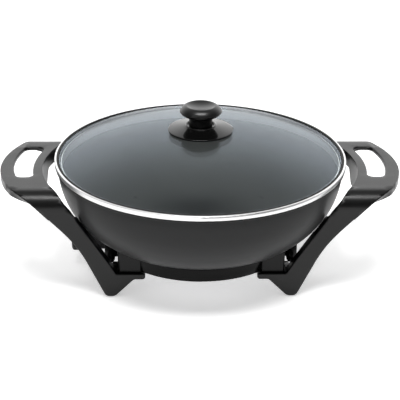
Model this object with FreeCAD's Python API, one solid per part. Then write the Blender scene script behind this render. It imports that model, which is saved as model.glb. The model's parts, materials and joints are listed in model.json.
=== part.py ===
import FreeCAD, Part
import math
import os

from FreeCAD import Vector

# Electric wok: a round cast bowl carried by two bridge-shaped handles whose legs are the feet,
# a heater and a plug-in temperature controller below it, and a loose glass lid on top.
# Millimetres. The origin is on the table under the middle of the bowl, +Z up, -Y to the cook,
# and the controller plugs in from -X.

# ---- clearances ----
SEAT_GAP = 0.1          # between fixed pieces with curved faces
MOVE_GAP = 0.3          # between pieces of different bodies

# ---- bowl ----
BOWL_BOTTOM = 43.0      # underside above the table
BOWL_RADIUS = 176.4     # outside, below the lip
BOWL_CORNER = 99.0      # outside radius of the wall's curve
BOWL_WALL = 3.0
WALL_STRAIGHT = 0.6     # upright part between the curve and the lip
LIP_FLARE = 3.0         # lip beyond the wall
LIP_THICK = 2.5
LIP_ROUND = 0.8

# ---- lid: band, glass and seal ----
RIM_OVERHANG = 0.6      # steel band beyond the bowl's lip
BAND_HEIGHT = 5.8
BAND_WIDTH = 4.6        # of the bright top flange
BAND_SHEET = 1.0
BAND_ROUND = 0.9
SHEET_ROUND = 0.45      # along the band's lower edges
EDGE_ROUND = 0.33       # along its flange and inner corner
BAND_SKIRT_GAP = 1.2    # between the band's skirt and the bowl's wall
BAND_SKIRT_DEPTH = 12.0
GLASS_THICK = 3.9
GLASS_RISE = 33.0       # from the glass edge to the middle of the dome
GLASS_HOLE_R = 4.0
SEAL_WIDTH = 1.1        # of the dark line between band and glass
SEAL_LIP = 0.5          # the seal under the glass edge

# ---- knob ----
SKIRT_RADIUS = 40.0
SKIRT_FLAT_R = 12.0     # level part of the skirt's underside
SKIRT_EDGE = 2.2
SKIRT_RISE = 4.3
SKIRT_ROUND = 0.73
COLLAR_RADIUS = 18.6
COLLAR_WALL = 2.2
COLLAR_HEIGHT = 1.6
COLLAR_DEPTH = 2.4
NECK_RADIUS = 14.3
NECK_HEIGHT = 11.4
NECK_FLARE = 3.5        # how far the neck opens out under the cap
NECK_FLARE_RISE = 2.2
NECK_HOLLOW = 0.55      # how hollow the flare is
CAP_RADIUS = 25.9
CAP_HEIGHT = 15.6
CAP_BULGE_RISE = 8.0    # widest place above the cap's underside
CAP_LOW_FULLNESS = 1.2  # how round the cap is below and above its widest place
CAP_HIGH_FULLNESS = 1.4
CREST_RADIUS = 17.9     # ring where the cap is highest
CAP_DISH = 3.4
WASHER_RADIUS = 10.0
WASHER_THICK = 1.2
KNOB_SCREW_R = 2.5
KNOB_SCREW_HEAD_R = 5.0
KNOB_SCREW_HEAD = 2.6
INSERT_RADIUS = 4.5
INSERT_LENGTH = 9.0

# ---- base ----
RING_REACH = 37.6       # ring's outside beyond the flat middle of the bowl
RING_DROP = 10.0        # ring's bottom below the bowl's
RING_WALL = 2.5
RING_ROUND = 1.0
PLATE_THICK = 1.2
LEDGE_WIDTH = 14.0
LEDGE_THICK = 2.0
VENT_COUNT = 12
VENT_LENGTH = 26.0
VENT_WIDTH = 4.0
VENT_INSET = 2.0        # slot ends inside the heat shield's edge
BASE_SCREW_ANGLE = 60.0
BASE_SCREW_INSET = 11.0 # from the ring's outside
BASE_SCREW_R = 1.5
BASE_HEAD_R = 3.0
BASE_HEAD = 2.0
BASE_SCREW_LENGTH = 9.0
BASE_BOSS_R = 4.0
HEAD_CHAMFER = 0.35     # of a screw head's height

# ---- heater ----
ELEMENT_R = 3.25
ELEMENT_INSET = 16.0    # middle of the tube inside the shield's edge
ELEMENT_TURN = 12.0     # bend from the ring to the straight ends
SHIELD_INSET = 12.5     # inside the ring's ledge
SHIELD_THICK = 0.6
SHIELD_LIFT = 0.8       # above the base plate
STUD_R = 2.5
STUD_BELOW = 6.0        # stud end below the base plate
SPACER_R = 4.5
NUT_R = 4.6
NUT_HEIGHT = 4.0
NUT_FLANGE_R = 6.0
NUT_FLANGE = 1.0

# ---- socket at the -X side ----
PIN_R = 2.4
PIN_CHAMFER = 0.8
PIN_SPREAD = 11.0       # each pin from the middle
PIN_BEHIND = 15.0       # pin's root inside the ring's outside
PIN_AHEAD = 14.0        # pin's tip beyond the ring's outside
WELL_R = 3.2
WELL_BORE_R = 2.6
WELL_LENGTH = 58.1
GUARD_LENGTH = 16.0
GUARD_HALF_WIDTH = 24.5
GUARD_HALF_HEIGHT = 9.8
GUARD_WALL = 2.8
GUARD_ROUND = 3.0
NOSE_ROUND = 1.5        # of the nose and of the guard's inside
GUARD_NECK_HALF = 22.0
GUARD_FLANGE = 2.3
GUARD_NECK_LIFT = 1.4   # floor of the ring's notch above the ring's bottom

# ---- plug-in temperature controller ----
HOUSING_LENGTH = 17.0
HOUSING_HALF_HEIGHT = 17.0
HOUSING_WALL = 2.0
HOUSING_ROUND = 6.0
NOSE_GAP = 1.0          # all round the nose in the guard
NOSE_TIP_GAP = 1.6      # nose tip from the bottom of the socket
NOSE_FLANGE = 3.0
NOSE_FLANGE_THICK = 1.5
CONTACT_R = 3.5
CONTACT_BORE_R = 2.7
PROBE_R = 2.3
PROBE_TIP_GAP = 3.0
DIAL_RADIUS = 20.5
DIAL_LENGTH = 13.5
DIAL_ROUND = 3.0
DIAL_GAP = 0.6
DIAL_FLUTES = 20
DIAL_FLUTE_R = 2.2
DIAL_FLUTE_DEPTH = 0.7
SPINDLE_R = 3.0
SPINDLE_FIT = 0.05
SPINDLE_DEPTH = 9.0
LENS_R = 3.2
LENS_PROUD = 1.2
LENS_ROUND = 1.0
LENS_FLANGE = 1.0
LENS_INSET = 11.0       # from the housing's front side
GLAND_R = 6.0
GLAND_BORE_R = 3.6
GLAND_PROUD = 8.0
GLAND_FLANGE = 1.6
GLAND_FLANGE_R = 7.5
SWITCH_THICK = 4.0
SWITCH_HALF_HEIGHT = 7.0
SWITCH_ROUND = 1.0
BLADE_THICK = 0.8
BLADE_WIDTH = 6.0
BLADE_HALF_LENGTH = 9.0
HOUSING_SCREW_R = 1.4
HOUSING_SCREW_HEAD_R = 2.6
HOUSING_SCREW_LENGTH = 26.0
HOUSING_SCREW_HEAD = 1.6
POST_GAP = 0.9          # between a screw post and a contact
POST_SIDE_GAP = 0.4     # between a screw post and the housing's side wall

# ---- handles: grip ----
GRIP_DROP = 8.7         # grip's top below the bowl's lip
GRIP_STANDOFF = 19.1    # grip's inner edge from the bowl's wall
GRIP_WIDTH = 51.5
GRIP_OUTER_ARC = 140.0
GRIP_INNER_ARC = 150.0
PLATE = 4.5             # thickness of the moulding
MOULD_ROUND = 1.8       # along the outer edges
HOLE_INNER_BAR = 11.6   # grip between its inner edge and the hand hole
HOLE_OUTER_BAR = 15.3   # and between the hand hole and its outer edge
HOLE_OUTER_ARC = 136.0
HOLE_SHIFT = 9.6        # hand hole behind the middle
HOLE_FRONT_BAR = 36.0   # from the front bend
HOLE_BACK_BAR = 15.6    # from the rear bend
HOLE_CORNER = 8.0
BEND_RADIUS = 20.0
BEND_SECTIONS = 8
LEAD_SECTIONS = 3       # run on straight down the leg
GRIP_SECTIONS = 10      # along half the grip
SKIRT_DEPTH = 18.4      # inner skirt below the grip's top
SKIRT_WALL = 3.5
SKIRT_STEP = 0.3        # skirt's face back from the grip's inner edge
WALL_ROOT = 1.0         # how far the walls below the grip run up into it
TONGUE_DEPTH = 37.0
TONGUE_TOP_HALF = 32.0
TONGUE_LOW_HALF = 22.0
TONGUE_ROUND = 6.0
LIP_DEPTH = 9.0         # outer lip below the grip's top
LIP_WIDTH = 3.5

# ---- handles: legs, placed from the handle screws ----
BOSS_R = 5.0
BOSS_GAP = 1.75         # between a boss and the base ring
BOSS_ANGLE = 42.337     # of each handle screw from the X axis
LEG_FACE_AHEAD = 11.0   # front of the front legs before the screw
LEG_DEPTH = 14.0
LEG_WEB = 3.5           # flanges round the hollow back of a leg
FLANGE_TAPER = 20.0
SHELF_DROP = 1.0        # shelf's top below the base ring's bottom
SHELF_THICK = 8.0
SHELF_END_INSIDE = 22.0
SHELF_WIDTH = 33.0
SHELF_OUTSIDE = 19.0
SHELF_LOW_DEPTH = 14.0  # lowest point of the wedge below the shelf's top
SHELF_LOW_ROUND = 3.5
SHELF_TOP_ROUND = 2.5
HEEL_ROUND = 6.0
SPRING_OUTSIDE = 13.0   # inner edge of the leg at the shelf
LEG_INNER_SLOPE = 0.636 # sideways per height
SPRING_ROUND = 3.0
FOOT_BOTTOM = 0.8
FOOT_OUTSIDE = 15.0
FOOT_WIDTH = 11.2
FOOT_INNER_ROUND = 9.0
FOOT_OUTER_ROUND = 7.0
KNEE_OUTSIDE = 58.8     # where the outer edge changes slope
KNEE_HEIGHT = 70.2
KNEE_ROUND = 160.0
LEG_OUTER_SLOPE = 0.957 # sideways per height, above the knee
RIB_COUNT = 3
RIB_THICK = 2.0
PAD_R = 4.0
PAD_HEIGHT = 5.0

# ---- blocks between legs and bowl ----
BLOCK_STEP = 1.8        # between the block and the leg's inner edge
BLOCK_INSIDE = 18.0
BLOCK_WIDTH = 36.0
BLOCK_ROUND = 3.0
WING_OUTSIDE = 28.0
WING_WIDTH = 12.5
WING_DEPTH = 8.0
WING_LIFT = 1.0         # above the shelf
WEB_DEPTH = 4.0
WEB_ROOT = 1.0
BOSS_LIFT = 10.0        # boss end above the shelf
HANDLE_SCREW_R = 2.0
HANDLE_HEAD_R = 4.2
HANDLE_HEAD = 2.6
HANDLE_SCREW_BITE = 8.0 # screw's length inside the boss
HANDLE_SEAT_DEPTH = 6.0 # where the screw heads bear, below the shelf's top

# ---- worked out from the above ----
LIP_TOP = BOWL_BOTTOM + BOWL_CORNER + WALL_STRAIGHT + LIP_THICK
LIP_RADIUS = BOWL_RADIUS + LIP_FLARE
FLAT_RADIUS = BOWL_RADIUS - BOWL_CORNER
RIM_RADIUS = LIP_RADIUS + RIM_OVERHANG
BAND_BOTTOM = LIP_TOP + MOVE_GAP
BAND_TOP = BAND_BOTTOM + BAND_HEIGHT
BAND_SKIRT_RADIUS = BOWL_RADIUS - BOWL_WALL - BAND_SKIRT_GAP
SEAL_RADIUS = RIM_RADIUS - BAND_WIDTH
GLASS_RADIUS = SEAL_RADIUS - SEAL_WIDTH
GLASS_EDGE_TOP = BAND_TOP - SEAL_LIP
GLASS_APEX = GLASS_EDGE_TOP + GLASS_RISE
GLASS_UNDER = GLASS_APEX - GLASS_THICK
SKIRT_UNDER = GLASS_APEX + WASHER_THICK
RING_RADIUS = FLAT_RADIUS + RING_REACH
RING_INNER = RING_RADIUS - RING_WALL
RING_BOTTOM = BOWL_BOTTOM - RING_DROP
ELEMENT_Z = BOWL_BOTTOM - SEAT_GAP / 2 - ELEMENT_R
PLATE_TOP = RING_BOTTOM + PLATE_THICK
LEDGE_BOTTOM = PLATE_TOP + SEAT_GAP
LEDGE_TOP = LEDGE_BOTTOM + LEDGE_THICK
BASE_SCREW_RADIUS = RING_RADIUS - BASE_SCREW_INSET
SHIELD_RADIUS = RING_INNER - LEDGE_WIDTH - SHIELD_INSET
SHIELD_BOTTOM = PLATE_TOP + SHIELD_LIFT
SHIELD_TOP = SHIELD_BOTTOM + SHIELD_THICK
VENT_OUTER = SHIELD_RADIUS - VENT_INSET
ELEMENT_RING = SHIELD_RADIUS - ELEMENT_INSET
PIN_INNER = RING_RADIUS - PIN_BEHIND
PIN_OUTER = RING_RADIUS + PIN_AHEAD
GUARD_INNER = RING_RADIUS + SEAT_GAP
GUARD_OUTER = GUARD_INNER + GUARD_LENGTH
WELL_MOUTH = RING_INNER - GUARD_FLANGE - SEAT_GAP
WELL_INNER = WELL_MOUTH - WELL_LENGTH
NOSE_HALF_WIDTH = GUARD_HALF_WIDTH - GUARD_WALL - NOSE_GAP
NOSE_HALF_HEIGHT = GUARD_HALF_HEIGHT - GUARD_WALL - NOSE_GAP
NOSE_TIP = RING_RADIUS + NOSE_TIP_GAP
HOUSING_INNER = GUARD_OUTER + MOVE_GAP
HOUSING_OUTER = HOUSING_INNER + HOUSING_LENGTH
HOUSING_MIDDLE = (HOUSING_INNER + HOUSING_OUTER) / 2
NOSE_BACK = HOUSING_INNER + HOUSING_WALL + NOSE_FLANGE_THICK
SWITCH_FACE = NOSE_BACK + SEAT_GAP
SWITCH_BACK = SWITCH_FACE + SWITCH_THICK
HOUSING_POST = HOUSING_INNER + HOUSING_WALL + HOUSING_SCREW_HEAD_R + SEAT_GAP
HOUSING_SCREW_Y = PIN_SPREAD + CONTACT_R + POST_GAP + HOUSING_SCREW_HEAD_R
HOUSING_HALF_WIDTH = HOUSING_SCREW_Y + HOUSING_SCREW_HEAD_R + POST_SIDE_GAP + HOUSING_WALL
POST_INSIDE = HOUSING_SCREW_Y - HOUSING_SCREW_HEAD_R - SEAT_GAP
LENS_OFFSET = HOUSING_HALF_WIDTH - LENS_INSET
DIAL_INNER = HOUSING_OUTER + DIAL_GAP
DIAL_OUTER = DIAL_INNER + DIAL_LENGTH
BOSS_DISTANCE = RING_RADIUS + BOSS_R + BOSS_GAP
BOSS_X = BOSS_DISTANCE * math.cos(math.radians(BOSS_ANGLE))
BOSS_Y = BOSS_DISTANCE * math.sin(math.radians(BOSS_ANGLE))
SHELF_TOP = RING_BOTTOM - SHELF_DROP
SHELF_BOTTOM = SHELF_TOP - SHELF_THICK
SHELF_END = BOSS_X - SHELF_END_INSIDE
BOSS_BOTTOM = SHELF_TOP + BOSS_LIFT
HANDLE_SCREW_TIP = BOSS_BOTTOM + HANDLE_SCREW_BITE
HANDLE_SEAT = SHELF_TOP - HANDLE_SEAT_DEPTH
LEG_FACE = BOSS_Y + LEG_FACE_AHEAD
LEG_BACK = LEG_FACE - LEG_DEPTH
LEG_SPRING = BOSS_X + SPRING_OUTSIDE
KNEE_X = BOSS_X + KNEE_OUTSIDE
FOOT_INNER = BOSS_X + FOOT_OUTSIDE
FOOT_OUTER = FOOT_INNER + FOOT_WIDTH
FOOT_X = (FOOT_INNER + FOOT_OUTER) / 2
FOOT_Y = (LEG_FACE + LEG_BACK) / 2
GRIP_TOP = LIP_TOP - GRIP_DROP
GRIP_INNER = BOWL_RADIUS + GRIP_STANDOFF
GRIP_REACH = GRIP_INNER + GRIP_WIDTH
GRIP_OUTER_CENTRE = GRIP_REACH - GRIP_OUTER_ARC
GRIP_INNER_CENTRE = GRIP_INNER - GRIP_INNER_ARC
BEND_START = LEG_FACE - BEND_RADIUS
BEND_END = GRIP_TOP - BEND_RADIUS
BEND_INSIDE = BEND_RADIUS - PLATE
BEND_LENGTH = BEND_RADIUS * math.pi / 2
BEND_LEAD = BEND_LENGTH * LEAD_SECTIONS / BEND_SECTIONS
LEG_END = BEND_END - BEND_LEAD
FLANGE_WIDTH = LEG_WEB * math.hypot(1, LEG_OUTER_SLOPE)
BLOCK_OUTER = LEG_SPRING - BLOCK_STEP
BLOCK_INNER = BOSS_X - BLOCK_INSIDE
BLOCK_BACK = LEG_FACE - BLOCK_WIDTH
WING_OUTER = BOSS_X + WING_OUTSIDE
WING_INNER = WING_OUTER - WING_WIDTH
WING_BOTTOM = SHELF_TOP + WING_LIFT
REACH = 300.0           # longer than the whole wok, for cutting tools
CLOSE = 0.01            # for telling edges apart

X_AXIS = Vector(1, 0, 0)
Y_AXIS = Vector(0, 1, 0)
Z_AXIS = Vector(0, 0, 1)
QUARTERS = [(1, -1), (1, 1), (-1, -1), (-1, 1)]
QUARTER_NAMES = {(1, -1): "front_right", (1, 1): "rear_right", (-1, -1): "front_left", (-1, 1): "rear_left"}


# ---------------------------------------------------------------- drawing helpers

def upright(r, z):
    """A point of a profile that is turned about the wok's axis."""
    return Vector(r, 0, z)


def front_view(x, z):
    """A point of an outline seen from the front."""
    return Vector(x, 0, z)


def side_view(y, z):
    """A point of an outline seen from the side."""
    return Vector(0, y, z)


def plan_view(x, y):
    """A point of an outline seen from above."""
    return Vector(x, y, 0)


def corner_arc(before, corner, after, radius):
    """Start, middle and end of the arc that rounds one corner of an outline."""
    p, c, n = (Vector(q[0], q[1], 0) for q in (before, corner, after))
    to_p = (p - c).normalize()
    to_n = (n - c).normalize()
    half = to_p.getAngle(to_n) / 2
    run = radius / math.tan(half)
    middle_way = (to_p + to_n).normalize()
    centre = c + middle_way * (radius / math.sin(half))
    return c + to_p * run, centre - middle_way * radius, c + to_n * run


def outline(corners, view):
    """A closed face through corners (a, b) or (a, b, radius), drawn in one view."""
    stops = []
    count = len(corners)
    for i, corner in enumerate(corners):
        if len(corner) == 2:
            stops.append([Vector(corner[0], corner[1], 0)])
        else:
            stops.append(corner_arc(corners[i - 1], corner, corners[(i + 1) % count], corner[2]))
    edges = []
    for i, stop in enumerate(stops):
        points = [view(q.x, q.y) for q in stop]
        if len(points) == 3:
            edges.append(Part.Arc(*points).toShape())
        following = view(stops[(i + 1) % count][0].x, stops[(i + 1) % count][0].y)
        if (following - points[-1]).Length > CLOSE:
            edges.append(Part.LineSegment(points[-1], following).toShape())
    return Part.Face(Part.Wire(edges))


def turned(corners):
    """A solid turned about the wok's axis from corners (radius, height)."""
    return outline(corners, upright).revolve(Vector(), Z_AXIS, 360)


def extruded(face, start, along):
    """A solid pushed out of a face, first moved to its start."""
    moved = face.copy()
    moved.translate(start)
    return moved.extrude(along)


def block(x0, x1, y0, y1, z0, z1):
    """A plain box between two corners."""
    return Part.makeBox(x1 - x0, y1 - y0, z1 - z0, Vector(x0, y0, z0))


def rod(radius, start, end):
    """A cylinder from one point to another."""
    way = end - start
    return Part.makeCylinder(radius, way.Length, start, way)


def tube(outer, inner, start, end):
    """A hollow cylinder from one point to another."""
    return rod(outer, start, end).cut(rod(inner, start, end))


def rounded_at(solid, radius, direction, places):
    """The solid with its edges along a direction rounded where they pass near the places."""
    chosen = []
    for edge in solid.Edges:
        ends = [v.Point for v in edge.Vertexes]
        if len(ends) != 2 or (ends[1] - ends[0]).normalize().cross(direction).Length > CLOSE:
            continue
        for place in places:
            offset = ends[0] - place
            if offset.cross(direction).Length < 1.0:
                chosen.append(edge)
                break
    return solid.makeFillet(radius, chosen)


def round_edges(solid):
    """The full circles among a solid's edges."""
    return [e for e in solid.Edges if len(e.Vertexes) == 1]


def mirrored(shape, across):
    """The shape seen in a mirror through the origin."""
    return shape.mirror(Vector(), across)


def at_quarter(shape, quarter):
    """A piece drawn at front right, moved to one of the four quarters."""
    side, depth = quarter
    if side < 0:
        shape = mirrored(shape, X_AXIS)
    if depth > 0:
        shape = mirrored(shape, Y_AXIS)
    return shape


# ---------------------------------------------------------------- bowl

def bowl_outside_z(radius):
    """Height of the bowl's outer surface at a distance from the axis."""
    if radius <= FLAT_RADIUS:
        return BOWL_BOTTOM
    return BOWL_BOTTOM + BOWL_CORNER - math.sqrt(BOWL_CORNER ** 2 - (radius - FLAT_RADIUS) ** 2)


def bowl_filled(gap):
    """The space that the bowl takes up, grown by a gap, for cutting what fits round it."""
    return turned([
        (0, BOWL_BOTTOM - gap),
        (BOWL_RADIUS + gap, BOWL_BOTTOM - gap, BOWL_CORNER + gap),
        (BOWL_RADIUS + gap, LIP_TOP),
        (0, LIP_TOP)])


def bowl_boss(x, y, radius, bottom):
    """A cast boss that drops from the bowl's wall, closed at the top inside the wall."""
    top = bowl_outside_z(math.hypot(x, y)) + BOWL_WALL / 2
    return rod(radius, Vector(x, y, bottom), Vector(x, y, top))


def base_screw_places():
    """Where the base screws go up into the bowl."""
    angle = math.radians(BASE_SCREW_ANGLE)
    x = BASE_SCREW_RADIUS * math.cos(angle)
    y = BASE_SCREW_RADIUS * math.sin(angle)
    return [Vector(side * x, depth * y, 0) for side, depth in QUARTERS]


def make_bowl():
    inner = BOWL_RADIUS - BOWL_WALL
    shell = turned([
        (0, BOWL_BOTTOM),
        (BOWL_RADIUS, BOWL_BOTTOM, BOWL_CORNER),
        (BOWL_RADIUS, LIP_TOP - LIP_THICK),
        (LIP_RADIUS, LIP_TOP - LIP_THICK, LIP_ROUND),
        (LIP_RADIUS, LIP_TOP, LIP_ROUND),
        (inner, LIP_TOP, LIP_ROUND),
        (inner, BOWL_BOTTOM + BOWL_WALL, BOWL_CORNER - BOWL_WALL),
        (0, BOWL_BOTTOM + BOWL_WALL)])
    for side, depth in QUARTERS:
        x, y = side * BOSS_X, depth * BOSS_Y
        tip = Vector(x, y, HANDLE_SCREW_TIP + SEAT_GAP)
        shell = shell.fuse(bowl_boss(x, y, BOSS_R, BOSS_BOTTOM))
        shell = shell.cut(rod(HANDLE_SCREW_R + SEAT_GAP, Vector(x, y, BOSS_BOTTOM - 1), tip))
    for place in base_screw_places():
        tip = place + Z_AXIS * (RING_BOTTOM + BASE_SCREW_LENGTH + SEAT_GAP)
        shell = shell.fuse(bowl_boss(place.x, place.y, BASE_BOSS_R, LEDGE_TOP + SEAT_GAP))
        shell = shell.cut(rod(BASE_SCREW_R + SEAT_GAP, place + Z_AXIS * LEDGE_TOP, tip))
    return shell.removeSplitter()


# ---------------------------------------------------------------- base and heater

def make_base_ring():
    """Outer band with an inner ledge, notched for the socket guard."""
    top = bowl_outside_z(RING_INNER) - MOVE_GAP
    ring = turned([
        (RING_INNER, RING_BOTTOM),
        (RING_RADIUS, RING_BOTTOM, RING_ROUND),
        (RING_RADIUS, top),
        (RING_INNER, top),
        (RING_INNER, LEDGE_TOP),
        (RING_INNER - LEDGE_WIDTH, LEDGE_TOP),
        (RING_INNER - LEDGE_WIDTH, LEDGE_BOTTOM),
        (RING_INNER, LEDGE_BOTTOM)])
    half = GUARD_NECK_HALF + SEAT_GAP
    notch = block(-REACH, 0, -half, half, RING_BOTTOM + GUARD_NECK_LIFT, LIP_TOP)
    ring = ring.cut(notch)
    for place in base_screw_places():
        ring = ring.cut(rod(BASE_SCREW_R + SEAT_GAP, place, place + Z_AXIS * LIP_TOP))
    return ring


def make_base_plate():
    """Closing plate with radial air slots and holes for the stud and the screws."""
    plate = rod(RING_INNER - SEAT_GAP, Vector(0, 0, RING_BOTTOM), Vector(0, 0, PLATE_TOP))
    half = VENT_WIDTH / 2
    slot = outline([
        (VENT_OUTER - VENT_LENGTH, -half, half),
        (VENT_OUTER, -half, half),
        (VENT_OUTER, half, half),
        (VENT_OUTER - VENT_LENGTH, half, half)], plan_view)
    slot = extruded(slot, Vector(), Z_AXIS * LIP_TOP)
    for i in range(VENT_COUNT):
        turned_slot = slot.copy()
        turned_slot.rotate(Vector(), Z_AXIS, 360 * (i + 0.5) / VENT_COUNT)
        plate = plate.cut(turned_slot)
    plate = plate.cut(rod(STUD_R + SEAT_GAP, Vector(), Z_AXIS * LIP_TOP))
    for place in base_screw_places():
        plate = plate.cut(rod(BASE_SCREW_R + SEAT_GAP, place, place + Z_AXIS * LIP_TOP))
    return plate


def screw(place, head_bottom, head_height, head_r, shank_r, tip):
    """A pan-head screw that goes up from below."""
    head = rod(head_r, place + Z_AXIS * head_bottom, place + Z_AXIS * (head_bottom + head_height))
    shank = rod(shank_r, place + Z_AXIS * (head_bottom + head_height), place + Z_AXIS * tip)
    rim = [e for e in round_edges(head) if abs(e.CenterOfMass.z - place.z - head_bottom) < CLOSE]
    return head.makeChamfer(head_height * HEAD_CHAMFER, rim).fuse(shank)


def make_base_screws():
    tip = RING_BOTTOM + BASE_SCREW_LENGTH
    low = RING_BOTTOM - BASE_HEAD
    places = base_screw_places()
    return Part.Compound([screw(p, low, BASE_HEAD, BASE_HEAD_R, BASE_SCREW_R, tip) for p in places])


def make_heating_element():
    """One ring of tube under the bowl whose two ends run out to the socket."""
    turn_y = PIN_SPREAD + ELEMENT_TURN
    turn_x = -math.sqrt((ELEMENT_RING + ELEMENT_TURN) ** 2 - turn_y ** 2)
    share = ELEMENT_RING / (ELEMENT_RING + ELEMENT_TURN)
    edges = []
    for way in (1, -1):
        centre = Vector(turn_x, way * turn_y, ELEMENT_Z)
        leave = Vector(turn_x * share, way * turn_y * share, ELEMENT_Z)
        join = Vector(turn_x, way * PIN_SPREAD, ELEMENT_Z)
        middle = centre + ((leave - centre) + (join - centre)).normalize() * ELEMENT_TURN
        end = Vector(-PIN_INNER, way * PIN_SPREAD, ELEMENT_Z)
        edges.append([Part.LineSegment(end, join).toShape(), Part.Arc(join, middle, leave).toShape()])
        if way > 0:
            first = leave
    ring = Part.Arc(first, Vector(ELEMENT_RING, 0, ELEMENT_Z), leave).toShape()
    path = Part.Wire(edges[0] + [ring] + edges[1][::-1])
    start = Vector(-PIN_INNER, PIN_SPREAD, ELEMENT_Z)
    section = Part.Wire(Part.makeCircle(ELEMENT_R, start, X_AXIS))
    return path.makePipeShell([section], True, True)


def make_heat_shield():
    """Thin tray under the element with a raised rim, open where the element's ends pass."""
    rim_top = ELEMENT_Z
    tray = turned([
        (STUD_R + SEAT_GAP, SHIELD_BOTTOM),
        (SHIELD_RADIUS, SHIELD_BOTTOM, ELEMENT_R),
        (SHIELD_RADIUS, rim_top),
        (SHIELD_RADIUS - SHIELD_THICK, rim_top),
        (SHIELD_RADIUS - SHIELD_THICK, SHIELD_TOP, ELEMENT_R - SHIELD_THICK),
        (STUD_R + SEAT_GAP, SHIELD_TOP)])
    half = PIN_SPREAD + ELEMENT_R + MOVE_GAP
    return tray.cut(block(-REACH, -ELEMENT_RING, -half, half, SHIELD_TOP, LIP_TOP))


def make_centre_stud():
    return rod(STUD_R, Vector(0, 0, RING_BOTTOM - STUD_BELOW), Vector(0, 0, BOWL_BOTTOM))


def make_stud_spacer():
    return tube(SPACER_R, STUD_R + SEAT_GAP, Vector(0, 0, SHIELD_TOP), Vector(0, 0, BOWL_BOTTOM))


def make_base_nut():
    """Hexagon nut with a flange that draws the base plate up."""
    angles = [math.radians(a) for a in range(0, 360, 60)]
    corners = [(NUT_R * math.cos(a), NUT_R * math.sin(a)) for a in angles]
    low = RING_BOTTOM - NUT_HEIGHT
    nut = extruded(outline(corners, plan_view), Vector(0, 0, low), Z_AXIS * NUT_HEIGHT)
    nut = nut.fuse(rod(NUT_FLANGE_R, Vector(0, 0, RING_BOTTOM - NUT_FLANGE), Vector(0, 0, RING_BOTTOM)))
    return nut.cut(rod(STUD_R + SEAT_GAP, Vector(), Vector(0, 0, LIP_TOP)))


def make_terminal_pin(way):
    """A contact pin that butts on the element's cold end and stands out in the socket."""
    inner = Vector(-PIN_INNER - SEAT_GAP, way * PIN_SPREAD, ELEMENT_Z)
    pin = rod(PIN_R, inner, Vector(-PIN_OUTER, way * PIN_SPREAD, ELEMENT_Z))
    tip = [e for e in round_edges(pin) if e.CenterOfMass.x < CLOSE - PIN_OUTER]
    return pin.makeChamfer(PIN_CHAMFER, tip)


def make_probe_well():
    """Closed tube under the bowl that the controller's probe slides into."""
    end = Vector(-WELL_INNER, 0, ELEMENT_Z)
    mouth = Vector(-WELL_MOUTH, 0, ELEMENT_Z)
    wall = WELL_R - WELL_BORE_R
    return rod(WELL_R, end, mouth).cut(rod(WELL_BORE_R, end - X_AXIS * wall, mouth))


def x_prism(half_width, half_height, x_inner, x_outer, radius):
    """A rounded bar along X, centred on the socket's axis, on the -X side."""
    face = outline([
        (-half_width, ELEMENT_Z - half_height, radius),
        (half_width, ELEMENT_Z - half_height, radius),
        (half_width, ELEMENT_Z + half_height, radius),
        (-half_width, ELEMENT_Z + half_height, radius)], side_view)
    return extruded(face, Vector(-x_outer, 0, 0), X_AXIS * (x_outer - x_inner))


def socket_bore(radius, y):
    """A long hole along the socket's axis, on the -X side."""
    return rod(radius, Vector(0, y, ELEMENT_Z), Vector(-REACH, y, ELEMENT_Z))


def make_socket_guard():
    """Shroud round the pins, with a neck through the base ring and a flange behind it."""
    inner_wall = RING_INNER - SEAT_GAP
    shroud = x_prism(GUARD_HALF_WIDTH, GUARD_HALF_HEIGHT, RING_INNER, GUARD_OUTER, GUARD_ROUND)
    shroud = shroud.cut(rod(GUARD_INNER, Vector(), Vector(0, 0, LIP_TOP)))
    hollow = x_prism(GUARD_HALF_WIDTH - GUARD_WALL, GUARD_HALF_HEIGHT - GUARD_WALL,
                     GUARD_INNER, GUARD_OUTER, NOSE_ROUND)
    floor = RING_BOTTOM + GUARD_NECK_LIFT + SEAT_GAP
    top = bowl_outside_z(inner_wall) - MOVE_GAP
    neck = block(-GUARD_INNER, -inner_wall + GUARD_FLANGE, -GUARD_NECK_HALF, GUARD_NECK_HALF, floor, top)
    flange_top = bowl_outside_z(inner_wall - GUARD_FLANGE) - MOVE_GAP
    flange = block(-inner_wall, -inner_wall + GUARD_FLANGE, -GUARD_HALF_WIDTH, GUARD_HALF_WIDTH,
                   LEDGE_TOP + SEAT_GAP, flange_top)
    flange = flange.common(rod(inner_wall, Vector(), Vector(0, 0, LIP_TOP)))
    ledge_room = block(-inner_wall, 0, -REACH, REACH, 0, LEDGE_TOP + SEAT_GAP)
    guard = shroud.fuse([neck.cut(ledge_room), flange]).cut(hollow)
    for way in (1, -1):
        guard = guard.cut(socket_bore(PIN_R + SEAT_GAP, way * PIN_SPREAD))
    return guard.cut(socket_bore(WELL_BORE_R, 0)).cut(bowl_filled(MOVE_GAP)).removeSplitter()


# ---------------------------------------------------------------- controller

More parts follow.
